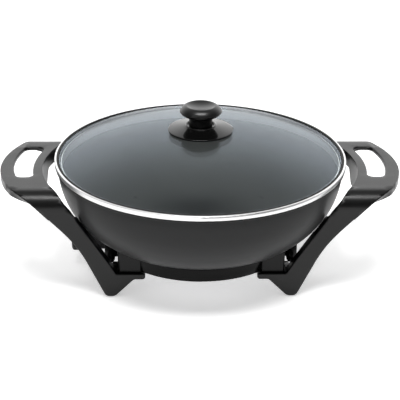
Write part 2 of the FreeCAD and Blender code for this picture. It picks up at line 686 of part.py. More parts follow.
def housing_shell():
    """Hollow housing of the controller before it is split at mid height."""
    wall = HOUSING_WALL
    outer = x_prism(HOUSING_HALF_WIDTH, HOUSING_HALF_HEIGHT, HOUSING_INNER, HOUSING_OUTER, HOUSING_ROUND)
    hollow = x_prism(HOUSING_HALF_WIDTH - wall, HOUSING_HALF_HEIGHT - wall,
                     HOUSING_INNER + wall, HOUSING_OUTER - wall, HOUSING_ROUND - wall)
    nose = x_prism(NOSE_HALF_WIDTH, NOSE_HALF_HEIGHT, NOSE_TIP, HOUSING_INNER + wall, NOSE_ROUND)
    axis = Vector(0, 0, ELEMENT_Z)
    spindle_hole = rod(SPINDLE_R + SPINDLE_FIT, axis - X_AXIS * HOUSING_INNER, axis - X_AXIS * REACH)
    middle = axis - X_AXIS * HOUSING_MIDDLE
    gland_hole = rod(GLAND_R, middle, middle + Y_AXIS * REACH)
    shell = outer.cut([hollow, nose, spindle_hole, gland_hole])
    for y in (-HOUSING_SCREW_Y, HOUSING_SCREW_Y):
        post_x = -HOUSING_POST
        low = ELEMENT_Z - HOUSING_HALF_HEIGHT
        high = ELEMENT_Z + HOUSING_HALF_HEIGHT - HOUSING_WALL
        post = rod(HOUSING_SCREW_HEAD_R, Vector(post_x, y, low + HOUSING_WALL), Vector(post_x, y, high))
        shell = shell.fuse(post)
        shell = shell.cut(rod(HOUSING_SCREW_R + SEAT_GAP, Vector(post_x, y, low),
                              Vector(post_x, y, low + HOUSING_SCREW_LENGTH)))
    return shell


def make_controller_base():
    low_half = block(-REACH, 0, -REACH, REACH, 0, ELEMENT_Z)
    return housing_shell().common(low_half)


def make_controller_cover():
    high_half = block(-REACH, 0, -REACH, REACH, ELEMENT_Z, LIP_TOP)
    cover = housing_shell().common(high_half)
    place = Vector(-HOUSING_MIDDLE, -LENS_OFFSET, 0)
    return cover.cut(rod(LENS_R + SEAT_GAP, place + Z_AXIS * ELEMENT_Z, place + Z_AXIS * LIP_TOP))


def make_plug_nose():
    """Insulating block with bores for the two contacts and the probe."""
    nose = x_prism(NOSE_HALF_WIDTH - SEAT_GAP, NOSE_HALF_HEIGHT - SEAT_GAP, NOSE_TIP,
                   HOUSING_INNER + HOUSING_WALL, NOSE_ROUND)
    flange = x_prism(POST_INSIDE, NOSE_HALF_HEIGHT + NOSE_FLANGE,
                     HOUSING_INNER + HOUSING_WALL, NOSE_BACK, NOSE_ROUND)
    nose = nose.fuse(flange)
    for way in (1, -1):
        nose = nose.cut(socket_bore(CONTACT_R + SEAT_GAP, way * PIN_SPREAD))
    return nose.cut(socket_bore(PROBE_R + SEAT_GAP, 0))


def make_contact_socket(way):
    """Brass sleeve that grips a terminal pin, held in the nose."""
    inner = Vector(-NOSE_TIP, way * PIN_SPREAD, ELEMENT_Z)
    outer = Vector(-NOSE_BACK, way * PIN_SPREAD, ELEMENT_Z)
    return tube(CONTACT_R, CONTACT_BORE_R, inner, outer)


def make_probe_rod():
    """Sensing rod from the switch block through the nose into the well."""
    tip = Vector(-(WELL_INNER + PROBE_TIP_GAP), 0, ELEMENT_Z)
    return rod(PROBE_R, Vector(-NOSE_BACK, 0, ELEMENT_Z), tip)


def make_thermostat_switch():
    return x_prism(POST_INSIDE, SWITCH_HALF_HEIGHT, SWITCH_FACE, SWITCH_BACK, SWITCH_ROUND)


def make_bimetal_blade():
    """Strip behind the switch block that bends with the probe's heat."""
    half = BLADE_WIDTH / 2
    return block(-SWITCH_BACK - BLADE_THICK, -SWITCH_BACK, -BLADE_HALF_LENGTH, BLADE_HALF_LENGTH,
                 ELEMENT_Z - half, ELEMENT_Z + half)


def make_dial_spindle():
    tip = SWITCH_BACK + BLADE_THICK + MOVE_GAP
    return rod(SPINDLE_R, Vector(-tip, 0, ELEMENT_Z), Vector(-DIAL_INNER - SPINDLE_DEPTH, 0, ELEMENT_Z))


def make_dial():
    """Round control dial with finger flutes, turning about X."""
    dial = rod(DIAL_RADIUS, Vector(-DIAL_INNER, 0, ELEMENT_Z), Vector(-DIAL_OUTER, 0, ELEMENT_Z))
    face_edge = [e for e in round_edges(dial) if e.CenterOfMass.x < CLOSE - DIAL_OUTER]
    dial = dial.makeFillet(DIAL_ROUND, face_edge)
    for i in range(DIAL_FLUTES):
        angle = math.radians(360 * i / DIAL_FLUTES)
        reach = DIAL_RADIUS + DIAL_FLUTE_R - DIAL_FLUTE_DEPTH
        y = reach * math.cos(angle)
        z = ELEMENT_Z + reach * math.sin(angle)
        dial = dial.cut(rod(DIAL_FLUTE_R, Vector(-DIAL_INNER - DIAL_ROUND, y, z), Vector(-REACH, y, z)))
    hole_end = Vector(-DIAL_INNER - SPINDLE_DEPTH, 0, ELEMENT_Z)
    return dial.cut(rod(SPINDLE_R + SEAT_GAP, Vector(0, 0, ELEMENT_Z), hole_end))


def make_indicator_lens():
    """Lens of the heating lamp on top of the controller, with a flange inside the cover."""
    top = ELEMENT_Z + HOUSING_HALF_HEIGHT
    inside = Vector(-HOUSING_MIDDLE, -LENS_OFFSET, top - HOUSING_WALL)
    body = rod(LENS_R, inside, inside + Z_AXIS * (HOUSING_WALL + LENS_PROUD))
    flange = rod(LENS_R + LENS_FLANGE, inside - Z_AXIS * LENS_FLANGE, inside)
    crown = [e for e in round_edges(body) if e.CenterOfMass.z > top]
    return body.makeFillet(LENS_ROUND, crown).fuse(flange)


def make_cord_gland():
    """Bush in the housing's rear side where a mains lead would leave."""
    outside = Vector(-HOUSING_MIDDLE, HOUSING_HALF_WIDTH, ELEMENT_Z)
    body = rod(GLAND_R - SEAT_GAP, outside - Y_AXIS * HOUSING_WALL, outside + Y_AXIS * GLAND_PROUD)
    flange = rod(GLAND_FLANGE_R, outside, outside + Y_AXIS * GLAND_FLANGE)
    bore = rod(GLAND_BORE_R, outside - Y_AXIS * HOUSING_HALF_WIDTH, outside + Y_AXIS * REACH)
    return body.fuse(flange).cut(bore)


def make_controller_screws():
    x = -HOUSING_POST
    low = ELEMENT_Z - HOUSING_HALF_HEIGHT - HOUSING_SCREW_HEAD
    tip = ELEMENT_Z - HOUSING_HALF_HEIGHT + HOUSING_SCREW_LENGTH - SEAT_GAP
    return Part.Compound([
        screw(Vector(x, y, 0), low, HOUSING_SCREW_HEAD, HOUSING_SCREW_HEAD_R, HOUSING_SCREW_R, tip)
        for y in (-HOUSING_SCREW_Y, HOUSING_SCREW_Y)])


# ---------------------------------------------------------------- handles

def leg_edge_x(z):
    """Inner and outer edge of a leg's upper part in the front view."""
    return LEG_SPRING + LEG_INNER_SLOPE * (z - SHELF_TOP), KNEE_X + LEG_OUTER_SLOPE * (z - KNEE_HEIGHT)


def leg_outline():
    """Front view of one leg, from the shelf and the foot up to the bend."""
    inner_top, outer_top = leg_edge_x(LEG_END)
    return [
        (SHELF_END, SHELF_BOTTOM, SHELF_LOW_ROUND),
        (FOOT_INNER - (SHELF_BOTTOM - FOOT_BOTTOM), SHELF_BOTTOM, HEEL_ROUND),
        (FOOT_INNER, FOOT_BOTTOM, FOOT_INNER_ROUND),
        (FOOT_OUTER, FOOT_BOTTOM, FOOT_OUTER_ROUND),
        (KNEE_X, KNEE_HEIGHT, KNEE_ROUND),
        (outer_top, LEG_END),
        (inner_top, LEG_END),
        (LEG_SPRING, SHELF_TOP, SPRING_ROUND),
        (SHELF_END, SHELF_TOP, SHELF_TOP_ROUND)]


def across_wok(face, y_from, y_to):
    """A front view pushed through the depth of the wok."""
    return extruded(face, Vector(0, y_from, 0), Y_AXIS * (y_to - y_from))


def disc_column(centre_x, radius):
    """A tall cylinder standing at a point of the X axis."""
    return rod(radius, Vector(centre_x, 0, 0), Vector(centre_x, 0, REACH))


def arc_x(centre_x, radius, y):
    """Where an arc about a point of the X axis passes at a distance from that axis."""
    return centre_x + math.sqrt(radius ** 2 - y ** 2)


def hand_hole():
    """Bean-shaped opening between two arcs, as a tall column."""
    outer = disc_column(GRIP_REACH - HOLE_OUTER_BAR - HOLE_OUTER_ARC, HOLE_OUTER_ARC)
    outer.translate(Y_AXIS * HOLE_SHIFT)
    inner = disc_column(GRIP_INNER_CENTRE, GRIP_INNER_ARC + HOLE_INNER_BAR)
    front = HOLE_FRONT_BAR - BEND_START
    back = BEND_START - HOLE_BACK_BAR
    span = block(GRIP_INNER_CENTRE, GRIP_REACH, front, back, 0, REACH)
    bean = span.common(outer).cut(inner)
    return rounded_at(bean, HOLE_CORNER, Z_AXIS, [Vector(v.X, v.Y, 0) for v in bean.Vertexes])


def bridge_edge(leg_x, leg_slope, arc_centre, arc_radius, share, y):
    """Sideways place of one edge: on the leg below 0, on the grip's arc from 1, smooth between."""
    if share >= 1:
        return arc_x(arc_centre, arc_radius, y)
    if share <= 0:
        return leg_x + leg_slope * BEND_LENGTH * share
    grip_x = arc_x(arc_centre, arc_radius, BEND_START)
    grip_slope = BEND_START / (grip_x - arc_centre)
    leg_part = (2 * share ** 3 - 3 * share ** 2 + 1) * leg_x
    leg_part += (share ** 3 - 2 * share ** 2 + share) * leg_slope * BEND_LENGTH
    grip_part = (3 * share ** 2 - 2 * share ** 3) * grip_x
    grip_part += (share ** 3 - share ** 2) * grip_slope * BEND_LENGTH
    return leg_part + grip_part


def bridge_section(share, y):
    """Section across the bridge at a share of the bend and, on the grip, at a distance from its middle."""
    turn = min(max(share, 0), 1)
    down = BEND_LENGTH * min(share, 0)
    leg_inner, leg_outer = leg_edge_x(BEND_END)
    x0 = bridge_edge(leg_inner, LEG_INNER_SLOPE, GRIP_INNER_CENTRE, GRIP_INNER_ARC, share, y)
    x1 = bridge_edge(leg_outer, LEG_OUTER_SLOPE, GRIP_OUTER_CENTRE, GRIP_OUTER_ARC, share, y)
    behind = x1 - FLANGE_WIDTH - (LIP_WIDTH - FLANGE_WIDTH) * turn
    deep = BEND_RADIUS - LEG_DEPTH - (LIP_DEPTH - LEG_DEPTH) * turn
    angle = math.pi / 2 * turn
    corners = []
    for x, out in ((x0, BEND_RADIUS), (x1, BEND_RADIUS), (x1, deep), (behind, deep),
                   (behind, BEND_INSIDE), (x0, BEND_INSIDE)):
        corners.append(Vector(x, y - out * math.cos(angle), BEND_END + down + out * math.sin(angle)))
    return Part.makePolygon(corners + corners[:1])


def is_on_outside(edge):
    """Whether an edge lies wholly on the bridge's outer surface, and not across one of its joints."""
    box = edge.BoundBox
    if box.ZLength < CLOSE and abs(box.ZMin - LEG_END) < CLOSE:
        return False
    span = edge.LastParameter - edge.FirstParameter
    for share in (0, 0.25, 0.5, 0.75, 1):
        point = edge.valueAt(edge.FirstParameter + span * share)
        out = math.hypot(max(abs(point.y) - BEND_START, 0), max(point.z - BEND_END, 0))
        if abs(out - BEND_RADIUS) > CLOSE:
            return False
    return True


def grip_and_bends():
    """The grip with its outer lip, hand hole and a bend at each end, its outer edges rounded."""
    places = [(i / BEND_SECTIONS, -BEND_START) for i in range(-LEAD_SECTIONS, BEND_SECTIONS)]
    places += [(1, BEND_START * (i / GRIP_SECTIONS - 1)) for i in range(GRIP_SECTIONS + 1)]
    front = [bridge_section(*place) for place in places]
    rear = [mirrored(section, Y_AXIS) for section in front[-2::-1]]
    bridge = Part.makeLoft(front + rear, True, False).cut(hand_hole())
    return bridge.makeFillet(MOULD_ROUND, [e for e in bridge.Edges if is_on_outside(e)])


def leg_blank():
    """Front leg with its foot and shelf, its outer edges rounded."""
    silhouette = outline(leg_outline(), front_view)
    leg = across_wok(silhouette, -LEG_FACE, -LEG_BACK)
    shelf_room = block(0, BOSS_X + SHELF_OUTSIDE, -REACH, REACH, SHELF_TOP - SHELF_LOW_DEPTH, SHELF_TOP)
    shelf = across_wok(silhouette, -LEG_FACE, SHELF_WIDTH - LEG_FACE).common(shelf_room)
    leg = leg.fuse(shelf).removeSplitter()
    front = [e for e in leg.Edges if abs(e.BoundBox.YMax + LEG_FACE) < CLOSE]
    return leg.makeFillet(MOULD_ROUND, [e for e in front if e.BoundBox.ZMin < LEG_END - CLOSE])


def leg_pocket():
    """The hollow behind a leg's face, divided by cross ribs."""
    inside = outline(leg_outline(), front_view).makeOffset2D(-LEG_WEB)
    room = block(LEG_SPRING, REACH, -REACH, REACH, SHELF_TOP, BEND_END)
    pocket = across_wok(inside, -LEG_FACE + PLATE, 0).common(room)
    ribs = [block(0, REACH, -REACH, 0, z, z + RIB_THICK) for z in rib_heights()]
    return pocket.cut(ribs)


def open_top():
    """Space where web and inner flange run out below the bend; the outer flange stays."""
    wedge = extruded(outline([
        (-LEG_FACE + PLATE, BEND_END),
        (-LEG_BACK, BEND_END - FLANGE_TAPER),
        (-LEG_BACK, BEND_END)], side_view), Vector(), X_AXIS * REACH)
    leg = across_wok(outline(leg_outline(), front_view), -REACH, 0)
    moved = leg.copy()
    moved.translate(-X_AXIS * FLANGE_WIDTH)
    return wedge.cut(leg.cut(moved))


def front_leg():
    """Front leg, hollow at the back, with holes for pad and screw."""
    foot = Vector(FOOT_X, -FOOT_Y, 0)
    hole = Vector(BOSS_X, -BOSS_Y, 0)
    pad_hole = rod(PAD_R + SEAT_GAP, foot, foot + Z_AXIS * (PAD_HEIGHT + SEAT_GAP))
    screw_hole = rod(HANDLE_SCREW_R + SEAT_GAP, hole, hole + Z_AXIS * REACH)
    counterbore = rod(HANDLE_HEAD_R + MOVE_GAP, hole, hole + Z_AXIS * HANDLE_SEAT)
    return leg_blank().cut([leg_pocket(), open_top(), pad_hole, screw_hole, counterbore])


def rib_heights():
    """Undersides of the cross ribs inside a leg."""
    step = (BEND_END - SHELF_TOP) / (RIB_COUNT + 1)
    return [SHELF_TOP + step * (i + 1) for i in range(RIB_COUNT)]


def inner_skirt():
    """Wall below the grip's inner edge with a deeper tongue in the middle."""
    face_arc = GRIP_INNER_ARC + SKIRT_STEP
    wall = disc_column(GRIP_INNER_CENTRE, face_arc + SKIRT_WALL)
    wall = wall.cut(disc_column(GRIP_INNER_CENTRE, face_arc))
    radius = BEND_INSIDE + WALL_ROOT
    end = BEND_START + radius
    top = BEND_END + radius
    low = GRIP_TOP - SKIRT_DEPTH
    under_bridge = outline([(-end, 0), (end, 0), (end, top, radius), (-end, top, radius)], side_view)
    right = [(end, top), (end, low), (TONGUE_TOP_HALF, low, TONGUE_ROUND),
             (TONGUE_LOW_HALF, GRIP_TOP - TONGUE_DEPTH, TONGUE_ROUND)]
    left = [(-p[0],) + p[1:] for p in reversed(right)]
    for face in (under_bridge, outline(right + left, side_view)):
        wall = wall.common(extruded(face, X_AXIS * GRIP_INNER_CENTRE, X_AXIS * REACH))
    return wall


def make_right_handle():
    """The right handle moulding: grip, bends, legs, feet and shelves in one piece."""
    leg = front_leg()
    handle = grip_and_bends().fuse([leg, mirrored(leg, Y_AXIS)])
    handle = handle.fuse(inner_skirt()).removeSplitter()
    return handle.cut(bowl_filled(MOVE_GAP))


def make_foot_pad():
    """Rubber pad pressed into the foot at front right."""
    return rod(PAD_R, Vector(FOOT_X, -FOOT_Y, 0), Vector(FOOT_X, -FOOT_Y, PAD_HEIGHT))


def make_leg_block():
    """Block at front right between a shelf and the bowl, with a rounded wing beside it."""
    front = -LEG_FACE + PLATE + SEAT_GAP
    core = extruded(outline([
        (BLOCK_INNER, front, BLOCK_ROUND),
        (BLOCK_OUTER, front, BLOCK_ROUND),
        (BLOCK_OUTER, -BLOCK_BACK),
        (BLOCK_INNER, -BLOCK_BACK)], plan_view), Z_AXIS * SHELF_TOP, Z_AXIS * (LIP_TOP - SHELF_TOP))
    wing = extruded(outline([
        (WING_INNER, WING_BOTTOM, WING_WIDTH / 2),
        (WING_OUTER, WING_BOTTOM, WING_WIDTH / 2),
        (WING_OUTER, LIP_TOP),
        (WING_INNER, LIP_TOP)], front_view), -Y_AXIS * (BLOCK_BACK + WING_DEPTH), Y_AXIS * WING_DEPTH)
    web = block(BLOCK_OUTER - WEB_ROOT, WING_INNER + WEB_ROOT, -BLOCK_BACK - WEB_DEPTH, -BLOCK_BACK,
                WING_BOTTOM + WING_WIDTH / 2, LIP_TOP)
    piece = core.fuse([wing, web])
    place = Vector(BOSS_X, -BOSS_Y, 0)
    far_up = place + Z_AXIS * LIP_TOP
    ring_room = rod(RING_RADIUS + SEAT_GAP, Vector(), Vector(0, 0, LIP_TOP))
    boss_room = rod(BOSS_R + SEAT_GAP, place + Z_AXIS * (BOSS_BOTTOM - SEAT_GAP), far_up)
    screw_room = rod(HANDLE_SCREW_R + SEAT_GAP, place, far_up)
    return piece.cut([ring_room, bowl_filled(SEAT_GAP), boss_room, screw_room]).removeSplitter()


def make_handle_screws():
    low = HANDLE_SEAT - HANDLE_HEAD
    screws = []
    for side, depth in QUARTERS:
        place = Vector(side * BOSS_X, depth * BOSS_Y, 0)
        screws.append(screw(place, low, HANDLE_HEAD, HANDLE_HEAD_R, HANDLE_SCREW_R, HANDLE_SCREW_TIP))
    return Part.Compound(screws)


# ---------------------------------------------------------------- lid

def dome_z(radius, apex, rise):
    """Height of a dome that falls by its rise at the glass edge."""
    ball = (GLASS_RADIUS ** 2 + rise ** 2) / (2 * rise)
    return apex - ball + math.sqrt(ball ** 2 - radius ** 2)


def make_lid_glass():
    """Tempered dome of even thickness with a hole for the knob screw."""
    def arc(apex, rise):
        points = [upright(r, dome_z(r, apex, rise)) for r in (GLASS_HOLE_R, GLASS_RADIUS / 2, GLASS_RADIUS)]
        return Part.Arc(*points).toShape(), points[0], points[-1]

    top, top_in, top_out = arc(GLASS_APEX, GLASS_RISE)
    under, under_in, under_out = arc(GLASS_UNDER, GLASS_RISE)
    walls = [Part.LineSegment(top_out, under_out).toShape(), Part.LineSegment(under_in, top_in).toShape()]
    face = Part.Face(Part.Wire([top, walls[0], under, walls[1]]))
    return face.revolve(Vector(), Z_AXIS, 360)


def make_lid_band():
    """Steel band folded round the glass edge, with a skirt that drops inside the bowl."""
    seat_top = BAND_BOTTOM + BAND_SHEET
    flange_under = BAND_TOP - BAND_SHEET
    skirt_inner = BAND_SKIRT_RADIUS - BAND_SHEET
    return turned([
        (BAND_SKIRT_RADIUS, BAND_BOTTOM - BAND_SKIRT_DEPTH, SHEET_ROUND),
        (BAND_SKIRT_RADIUS, BAND_BOTTOM),
        (RIM_RADIUS, BAND_BOTTOM, SHEET_ROUND),
        (RIM_RADIUS, BAND_TOP, BAND_ROUND),
        (SEAL_RADIUS, BAND_TOP, EDGE_ROUND),
        (SEAL_RADIUS, flange_under),
        (RIM_RADIUS - BAND_SHEET, flange_under),
        (RIM_RADIUS - BAND_SHEET, seat_top),
        (skirt_inner, seat_top, EDGE_ROUND),
        (skirt_inner, BAND_BOTTOM - BAND_SKIRT_DEPTH, SHEET_ROUND)])


def make_lid_seal():
    """Silicone seal that fills the band round the glass edge."""
    low = BAND_BOTTOM + BAND_SHEET
    under_glass = GLASS_EDGE_TOP - GLASS_THICK - SEAT_GAP
    flange_under = BAND_TOP - BAND_SHEET
    inner = GLASS_RADIUS + SEAT_GAP / 2
    return turned([
        (BAND_SKIRT_RADIUS, low),
        (RIM_RADIUS - BAND_SHEET - SEAT_GAP / 2, low),
        (RIM_RADIUS - BAND_SHEET - SEAT_GAP / 2, flange_under),
        (SEAL_RADIUS - SEAT_GAP / 2, flange_under),
        (SEAL_RADIUS - SEAT_GAP / 2, GLASS_EDGE_TOP),
        (inner, GLASS_EDGE_TOP),
        (inner, under_glass),
        (BAND_SKIRT_RADIUS, under_glass)])


def make_knob_skirt():
    """Wide steam guard below the knob, slightly conical, with a raised collar."""
    edge_low = dome_z(SKIRT_RADIUS, GLASS_APEX, GLASS_RISE) + MOVE_GAP
    edge_top = edge_low + SKIRT_EDGE
    crown = edge_top + SKIRT_RISE
    collar_top = crown + COLLAR_HEIGHT
    well = collar_top - COLLAR_DEPTH
    collar_inner = COLLAR_RADIUS - COLLAR_WALL
    return turned([
        (KNOB_SCREW_R + SEAT_GAP, SKIRT_UNDER),
        (SKIRT_FLAT_R, SKIRT_UNDER),
        (SKIRT_RADIUS, edge_low, SKIRT_ROUND),
        (SKIRT_RADIUS, edge_top, SKIRT_ROUND),
        (COLLAR_RADIUS, crown, SKIRT_ROUND),
        (COLLAR_RADIUS, collar_top, SKIRT_ROUND),
        (collar_inner, collar_top, SKIRT_ROUND),
        (collar_inner, well, SKIRT_ROUND),
        (KNOB_SCREW_R + SEAT_GAP, well)])


def knob_seat():
    """Height of the collar's floor, where the knob stands."""
    edge_top = dome_z(SKIRT_RADIUS, GLASS_APEX, GLASS_RISE) + MOVE_GAP + SKIRT_EDGE
    return edge_top + SKIRT_RISE + COLLAR_HEIGHT - COLLAR_DEPTH


def bulging(start, end, fullness):
    """An arc of the knob's profile that stands out from its chord."""
    chord = end - start
    outward = Vector(chord.z, 0, -chord.x).normalize()
    return Part.Arc(start, (start + end) / 2 + outward * fullness, end).toShape()


def make_knob():
    """Mushroom knob: waisted neck, thick rounded cap and a dished top, bored for the insert."""
    seat = knob_seat()
    cap_low = seat + NECK_HEIGHT
    cap_top = cap_low + CAP_HEIGHT
    insert_top = seat + INSERT_LENGTH + SEAT_GAP
    bore = INSERT_RADIUS + SEAT_GAP / 2
    neck_low = upright(NECK_RADIUS, seat)
    neck_top = upright(NECK_RADIUS, cap_low)
    under = upright(NECK_RADIUS + NECK_FLARE, cap_low + NECK_FLARE_RISE)
    widest = upright(CAP_RADIUS, cap_low + CAP_BULGE_RISE)
    crest = upright(CREST_RADIUS, cap_top)
    ball = (CREST_RADIUS ** 2 + CAP_DISH ** 2) / (2 * CAP_DISH)
    dish = upright(0, cap_top - CAP_DISH)
    half = CREST_RADIUS / 2
    dish_mid = upright(half, dish.z + ball - math.sqrt(ball ** 2 - half ** 2))
    stem = [dish, upright(0, insert_top), upright(bore, insert_top), upright(bore, seat)]
    stem += [neck_low, neck_top]
    edges = [Part.LineSegment(p, q).toShape() for p, q in zip(stem, stem[1:])]
    edges.append(bulging(neck_top, under, -NECK_HOLLOW))
    edges.append(bulging(under, widest, CAP_LOW_FULLNESS))
    edges.append(bulging(widest, crest, CAP_HIGH_FULLNESS))
    edges.append(Part.Arc(crest, dish_mid, dish).toShape())
    return Part.Face(Part.Wire(edges)).revolve(Vector(), Z_AXIS, 360)


def make_knob_insert():
    """Threaded brass insert moulded into the neck."""
    seat = Z_AXIS * knob_seat()
    return tube(INSERT_RADIUS, KNOB_SCREW_R + SEAT_GAP / 2, seat, seat + Z_AXIS * INSERT_LENGTH)


def make_knob_screw():
    """Screw that holds washers, glass, skirt and knob together from below."""
    head_top = GLASS_UNDER - WASHER_THICK - SEAT_GAP
    return screw(Vector(), head_top - KNOB_SCREW_HEAD, KNOB_SCREW_HEAD, KNOB_SCREW_HEAD_R, KNOB_SCREW_R,
                 knob_seat() + INSERT_LENGTH - SEAT_GAP)


def make_washer_above():
    return tube(WASHER_RADIUS, KNOB_SCREW_R + SEAT_GAP, Vector(0, 0, GLASS_APEX), Vector(0, 0, SKIRT_UNDER))


def make_washer_below():
    low = Z_AXIS * (GLASS_UNDER - WASHER_THICK - SEAT_GAP)
    return tube(WASHER_RADIUS, KNOB_SCREW_R + SEAT_GAP, low, low + Z_AXIS * (WASHER_THICK - SEAT_GAP))


# ---------------------------------------------------------------- all nodes

def all_nodes():
    right_handle = make_right_handle()
    nodes = {
        "bowl": make_bowl(),
        "base_ring": make_base_ring(),
        "base_plate": make_base_plate(),
        "base_screws": make_base_screws(),
        "heating_element": make_heating_element(),
        "heat_shield": make_heat_shield(),
        "centre_stud": make_centre_stud(),
        "stud_spacer": make_stud_spacer(),
        "base_nut": make_base_nut(),
        "terminal_pin_front": make_terminal_pin(-1),
        "terminal_pin_rear": make_terminal_pin(1),
        "probe_well": make_probe_well(),
        "socket_guard": make_socket_guard(),
        "controller_base": make_controller_base(),
        "controller_cover": make_controller_cover(),
        "controller_screws": make_controller_screws(),
        "plug_nose": make_plug_nose(),
        "contact_socket_front": make_contact_socket(-1),
        "contact_socket_rear": make_contact_socket(1),
        "probe_rod": make_probe_rod(),
        "thermostat_switch": make_thermostat_switch(),
        "bimetal_blade": make_bimetal_blade(),
        "dial_spindle": make_dial_spindle(),
        "dial": make_dial(),
        "indicator_lens": make_indicator_lens(),
        "cord_gland": make_cord_gland(),
        "handle_right": right_handle,
        "handle_left": mirrored(right_handle, X_AXIS),
        "handle_screws": make_handle_screws(),
        "lid_glass": make_lid_glass(),
        "lid_band": make_lid_band(),
        "lid_seal": make_lid_seal(),
        "knob_skirt": make_knob_skirt(),
        "knob": make_knob(),
        "knob_insert": make_knob_insert(),
        "knob_screw": make_knob_screw(),
        "knob_washer_above": make_washer_above(),
        "knob_washer_below": make_washer_below(),
    }
    leg_block = make_leg_block()
    foot_pad = make_foot_pad()
    for quarter in QUARTERS:
        nodes["leg_block_" + QUARTER_NAMES[quarter]] = at_quarter(leg_block, quarter)
        nodes["foot_pad_" + QUARTER_NAMES[quarter]] = at_quarter(foot_pad, quarter)
    return nodes


os.makedirs("parts", exist_ok=True)
for name, shape in all_nodes().items():
    shape.exportStep(os.path.join("parts", name + ".step"))
    print(name, len(shape.Solids), "solids", round(shape.Volume / 1000, 2), "cm3", shape.isValid())
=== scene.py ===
import json
import math

import bmesh
import bpy
from mathutils import Matrix, Vector


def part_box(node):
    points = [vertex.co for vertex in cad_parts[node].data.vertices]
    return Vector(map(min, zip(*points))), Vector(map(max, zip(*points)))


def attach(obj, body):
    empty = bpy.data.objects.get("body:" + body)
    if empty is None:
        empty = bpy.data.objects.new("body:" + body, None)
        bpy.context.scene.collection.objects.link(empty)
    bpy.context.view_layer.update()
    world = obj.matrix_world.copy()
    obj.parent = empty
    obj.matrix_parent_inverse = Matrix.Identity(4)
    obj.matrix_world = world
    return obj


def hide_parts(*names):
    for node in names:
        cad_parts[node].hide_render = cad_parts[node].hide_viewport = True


# Electric wok: satin black mouldings, a satin charcoal bowl with a grey lining, a clear domed lid in
# a polished steel band, and a plug-in controller. Metres.

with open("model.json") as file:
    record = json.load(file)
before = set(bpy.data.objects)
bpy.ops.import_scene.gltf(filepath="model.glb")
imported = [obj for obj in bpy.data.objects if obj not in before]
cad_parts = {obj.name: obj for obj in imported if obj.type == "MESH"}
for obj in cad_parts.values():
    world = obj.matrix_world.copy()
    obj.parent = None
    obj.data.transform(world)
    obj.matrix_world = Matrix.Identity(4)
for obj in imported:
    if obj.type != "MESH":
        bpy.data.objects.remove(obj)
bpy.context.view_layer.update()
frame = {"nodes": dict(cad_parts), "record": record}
record = frame["record"]
slot_of = {part["node"]: part["material_slot"] for part in record["subparts"]}
body_of = {node: body for body, nodes in record["behaviour"]["bodies"].items() for node in nodes}

# ---- print on the dial and the controller ----
PRINT_THICK = 0.00006
LAST_NUMERAL = 5
NUMERAL_HEIGHT = 0.0042
NUMERAL_RADIUS = 0.0128         # middle of the numerals from the dial's axis
MARK_RADIUS = 0.0163
MARK_LENGTH = 0.0022
MARK_WIDTH = 0.0005
SCALE_TURN = math.radians(270)
POINTER_LENGTH = 0.0045
POINTER_WIDTH = 0.0030
POINTER_SETBACK = 0.0036        # middle of the pointer from the housing's outer end

# ---- painted shade of the cross recesses in the screw heads: dark plates, not hollows ----
RECESS_REACH = 0.62             # half the length of an arm, as a share of the head's radius
RECESS_WIDTH = 0.2              # width of an arm, as a share of the head's radius
RECESS_THICK = 0.00008

# ---- lip of the lid seal, over the inner edge of the band ----
SEAL_LIP_EDGE = 0.0024          # from the band's outer edge
SEAL_LIP_WIDTH = 0.0030
SEAL_LIP_PROUD = 0.0004
SEAL_LIP_ROUND = 0.0003         # bevel of its two upper edges
SEAL_LIP_STEPS = 240

# ---- glass of the lid ----
GLASS_BEVEL_START = 0.1726      # polished edge, from the lid's axis
GLASS_BEVEL_END = 0.1732
GLASS_SQUARE_MIRROR = 0.016     # share that mirrors where the glass is seen square on
GLASS_SLOPE_MIRROR = 0.24       # share that is added as it turns away
GLASS_SLOPE_POWER = 3.2
GLASS_GRAZING_MIRROR = 0.6      # share that is added at a grazing angle
GLASS_GRAZING_POWER = 14.0
GLASS_EDGE_MIRROR = 0.1
GLASS_HAZE = 0.11
GLASS_WIPE_MARKS = 0.04

# ---- coating of the bowl ----
WALL_CURVE_RADIUS = 0.0975      # the wall's middle, about the centre of its curve
WALL_CURVE_CENTRE_R = 0.0774
WALL_CURVE_CENTRE_Z = 0.142
SHELL_DARK = 0.025
SHELL_LIGHT = 0.034
SHELL_WARMTH = -0.01
LINING_DARK = 0.05
LINING_LIGHT = 0.062
LINING_ROUGHNESS = 0.45
SHELL_ROUGHNESS = 0.32
COATING_CLOUDING = 0.05
PEEL_RELIEF = 0.000012

# ---- colours ----
STEEL = (0.62, 0.62, 0.63, 1.0)
PRESSED_STEEL = (0.5, 0.5, 0.51, 1.0)
NICKEL = (0.75, 0.74, 0.7, 1.0)
ALUMINIUM = (0.7, 0.7, 0.7, 1.0)
BRASS = (0.72, 0.55, 0.27, 1.0)
OXIDE_GREY = (0.10, 0.10, 0.11, 1.0)
OXIDE_STRAW = (0.17, 0.13, 0.09, 1.0)
OXIDE_PURPLE = (0.12, 0.10, 0.13, 1.0)
GLASS_TINT = (0.965, 0.985, 0.98, 1.0)
GLASS_SHINE = (0.82, 0.9, 1.0, 1.0)
LENS_DEEP_RED = (0.45, 0.02, 0.01, 1.0)
LENS_RED = (0.6, 0.05, 0.02, 1.0)

# ---- reliefs of the other finishes ----
MOULD_GRAIN = 0.00003
WAVE_RELIEF = 0.00008
STEEL_RELIEF = 0.00001
SCALE_RELIEF = 0.00003
PORE_RELIEF = 0.00004
PRISM_RELIEF = 0.0001
ROLLING_LINES = 40.0            # how much the steel's lines are squeezed across the band

# ---- mesh finishing ----
WELD = 1e-6
CREASE = math.radians(32)

